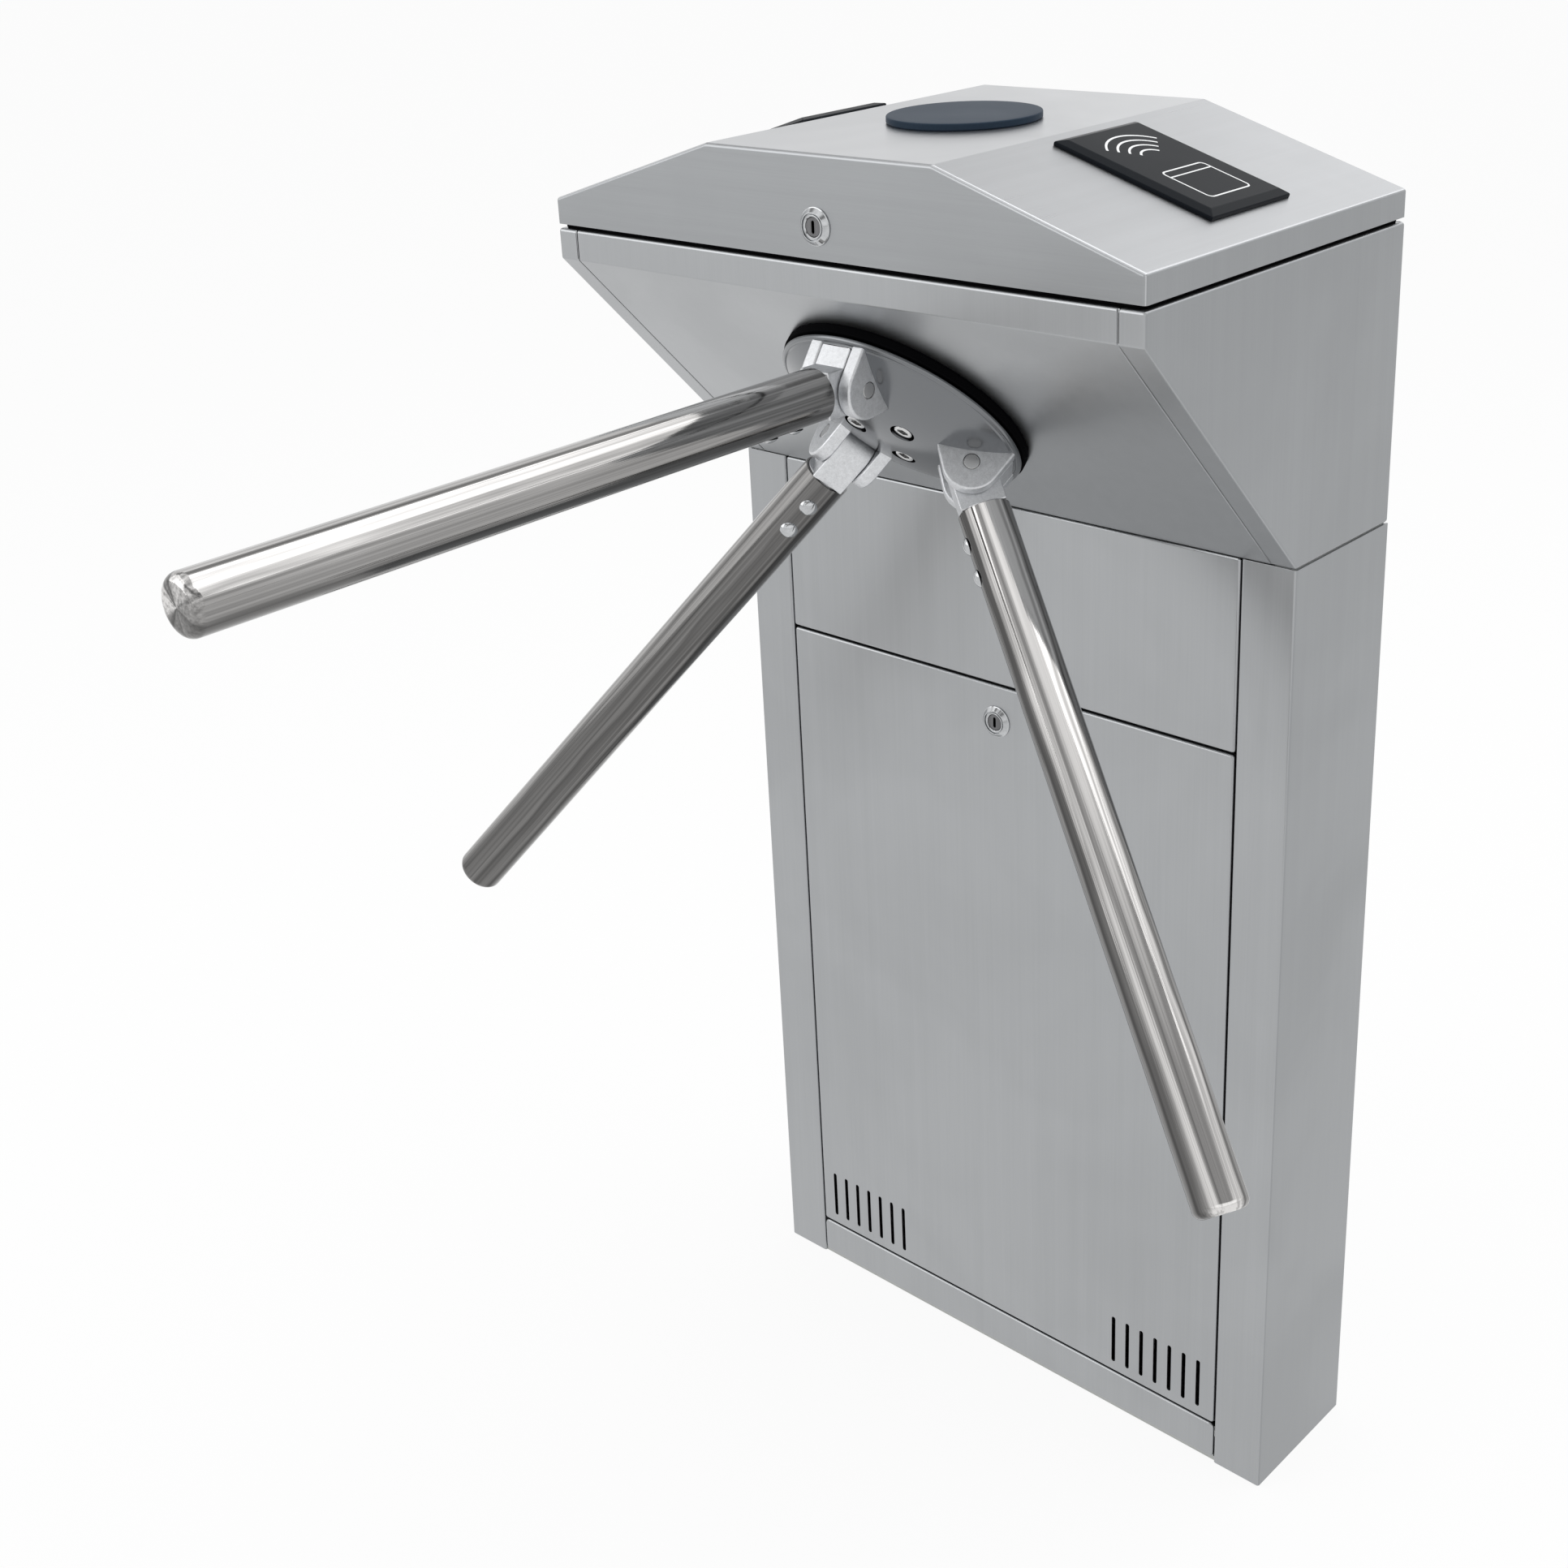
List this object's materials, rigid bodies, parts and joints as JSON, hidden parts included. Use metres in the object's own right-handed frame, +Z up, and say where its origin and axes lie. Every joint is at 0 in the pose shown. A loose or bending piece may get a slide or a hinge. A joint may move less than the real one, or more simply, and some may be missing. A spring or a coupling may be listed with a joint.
{
  "type": "tripod turnstile",
  "caption": "Waist-high access gate with a slim sheet steel pedestal, an overhanging head with a tilted hub of turning bars, and reader windows on its lid.",
  "frame": {"origin": "on the floor at the middle of the pedestal's footprint, which is the middle of the floor anchors", "axes": "+X to the right seen from the front, +Y to the back, +Z up"},
  "size_m": [0.689, 0.7397, 0.985],
  "materials": {
    "sheet": "satin brushed stainless sheet",
    "frame_steel": "zinc grey",
    "chrome": "polished",
    "cast_hub": "fine cast, polished rim",
    "bright_steel": "bright machined",
    "gear_brass": "machined",
    "black_rubber": "matte",
    "black_plastic": "satin moulded",
    "window_gloss": "polished black",
    "solenoid_steel": "coil wrap and frame",
    "board_green": "solder mask",
    "supply_case": "punched case"
  },
  "bodies": {
    "cabinet": {"base_plate": "frame_steel", "cable_grommet": "black_rubber", "left_post": "sheet", "right_post": "sheet", "pedestal_back": "sheet", "upper_front_panel": "sheet", "front_sill": "sheet", "deck_plate": "frame_steel", "left_head_side": "sheet", "right_head_side": "sheet", "head_back": "sheet", "front_fascia": "sheet", "cabinet_screws": "bright_steel", "lid_seal": "black_rubber", "lid_keeper": "frame_steel", "trim_ring": "black_plastic", "mechanism_posts": "frame_steel", "mechanism_plate": "frame_steel", "shaft_bearings": "bright_steel", "solenoids": "solenoid_steel", "damper_body": "black_plastic", "centring_spring": "bright_steel", "sensor_fork": "black_plastic", "control_board": "board_green", "power_supply": "supply_case", "terminal_strip": "black_plastic", "hinge_fixed_leaves": "bright_steel"},
    "rotor": {"main_shaft": "bright_steel", "hub": "cast_hub", "hub_bolts": "bright_steel", "pivot_pins": "bright_steel", "shaft_gear": "gear_brass", "lock_wheel": "bright_steel", "sensor_disc": "bright_steel", "shaft_nut": "bright_steel"},
    "level_arm": {"level_arm_tube": "chrome", "level_arm_knuckle": "cast_hub", "level_arm_screws": "bright_steel"},
    "right_arm": {"right_arm_tube": "chrome", "right_arm_knuckle": "cast_hub", "right_arm_screws": "bright_steel"},
    "left_arm": {"left_arm_tube": "chrome", "left_arm_knuckle": "cast_hub", "left_arm_screws": "bright_steel"},
    "crank": {"crank_pinion": "gear_brass"},
    "damper_rotor": {"damper_pinion": "gear_brass"},
    "right_pawl": {"right_pawl": "bright_steel"},
    "left_pawl": {"left_pawl": "bright_steel"},
    "right_plunger": {"right_plunger": "bright_steel"},
    "left_plunger": {"left_plunger": "bright_steel"},
    "lid": {"lid_shell": "sheet", "status_disc": "black_plastic", "reader_windows": "window_gloss", "lid_boards": "board_green", "lid_lock_barrel": "chrome", "hinge_moving_leaves": "bright_steel"},
    "lid_lock": {"lid_lock_plug": "bright_steel"},
    "door": {"service_door": "sheet", "door_lock_barrel": "chrome"},
    "door_lock": {"door_lock_plug": "bright_steel"}
  },
  "joints": [
    {"name": "hub_rotation", "type": "hinge", "parent": "cabinet", "child": "rotor", "pos_m": [0, -0.14331, 0.81152], "axis": [0, -0.7235, -0.6903], "continuous": true},
    {"name": "level_arm_drop", "type": "hinge", "parent": "rotor", "child": "level_arm", "pos_m": [0, -0.20357, 0.83557], "axis": [1, 0, 0], "range_deg": [0, 90]},
    {"name": "right_arm_drop", "type": "hinge", "parent": "rotor", "child": "right_arm", "pos_m": [0.0511, -0.14248, 0.77153], "axis": [-0.5, 0.5978, -0.6266], "range_deg": [0, 45]},
    {"name": "left_arm_drop", "type": "hinge", "parent": "rotor", "child": "left_arm", "pos_m": [-0.0511, -0.14248, 0.77153], "axis": [-0.5, -0.5978, 0.6266], "range_deg": [0, 45]},
    {"name": "crank_turn", "type": "hinge", "parent": "cabinet", "child": "crank", "pos_m": [-0.01854, -0.10392, 0.77023], "axis": [0, -0.7235, -0.6903], "continuous": true, "deforming": ["centring_spring"]},
    {"name": "damper_turn", "type": "hinge", "parent": "cabinet", "child": "damper_rotor", "pos_m": [0.01854, -0.10392, 0.77023], "axis": [0, -0.7235, -0.6903], "continuous": true},
    {"name": "right_pawl_turn", "type": "hinge", "parent": "cabinet", "child": "right_pawl", "pos_m": [0.057, -0.11708, 0.78402], "axis": [0, -0.7235, -0.6903], "range_deg": [0, 8], "stiffness_Nm_per_rad": 0.3, "springref_deg": -17.19},
    {"name": "left_pawl_turn", "type": "hinge", "parent": "cabinet", "child": "left_pawl", "pos_m": [-0.057, -0.11708, 0.78402], "axis": [0, 0.7235, 0.6903], "range_deg": [0, 8], "stiffness_Nm_per_rad": 0.3, "springref_deg": -17.19},
    {"name": "right_plunger_slide", "type": "slide", "parent": "cabinet", "child": "right_plunger", "axis": [-1, 0, 0], "range_m": [0, 0.01]},
    {"name": "left_plunger_slide", "type": "slide", "parent": "cabinet", "child": "left_plunger", "axis": [1, 0, 0], "range_m": [0, 0.01]},
    {"name": "lid_open", "type": "hinge", "parent": "cabinet", "child": "lid", "pos_m": [0, 0.0603, 0.9155], "axis": [-1, 0, 0], "range_deg": [0, 80]},
    {"name": "lid_lock_turn", "type": "hinge", "parent": "lid", "child": "lid_lock", "pos_m": [0, -0.222, 0.937], "axis": [0, -1, 0], "range_deg": [0, 90]},
    {"name": "door_tilt", "type": "hinge", "parent": "cabinet", "child": "door", "pos_m": [0, -0.056, 0.0356], "axis": [1, 0, 0], "range_deg": [0, 30]},
    {"name": "door_lock_turn", "type": "hinge", "parent": "door", "child": "door_lock", "pos_m": [0, -0.056, 0.5555], "axis": [0, -1, 0], "range_deg": [0, 90]}
  ],
  "couplings": [
    {"joint": "crank_turn", "follows": "hub_rotation", "ratio": -3},
    {"joint": "damper_turn", "follows": "hub_rotation", "ratio": -3},
    {"joint": "right_plunger_slide", "follows": "right_pawl_turn", "m_per_rad": 0.07},
    {"joint": "left_plunger_slide", "follows": "left_pawl_turn", "m_per_rad": 0.07}
  ]
}
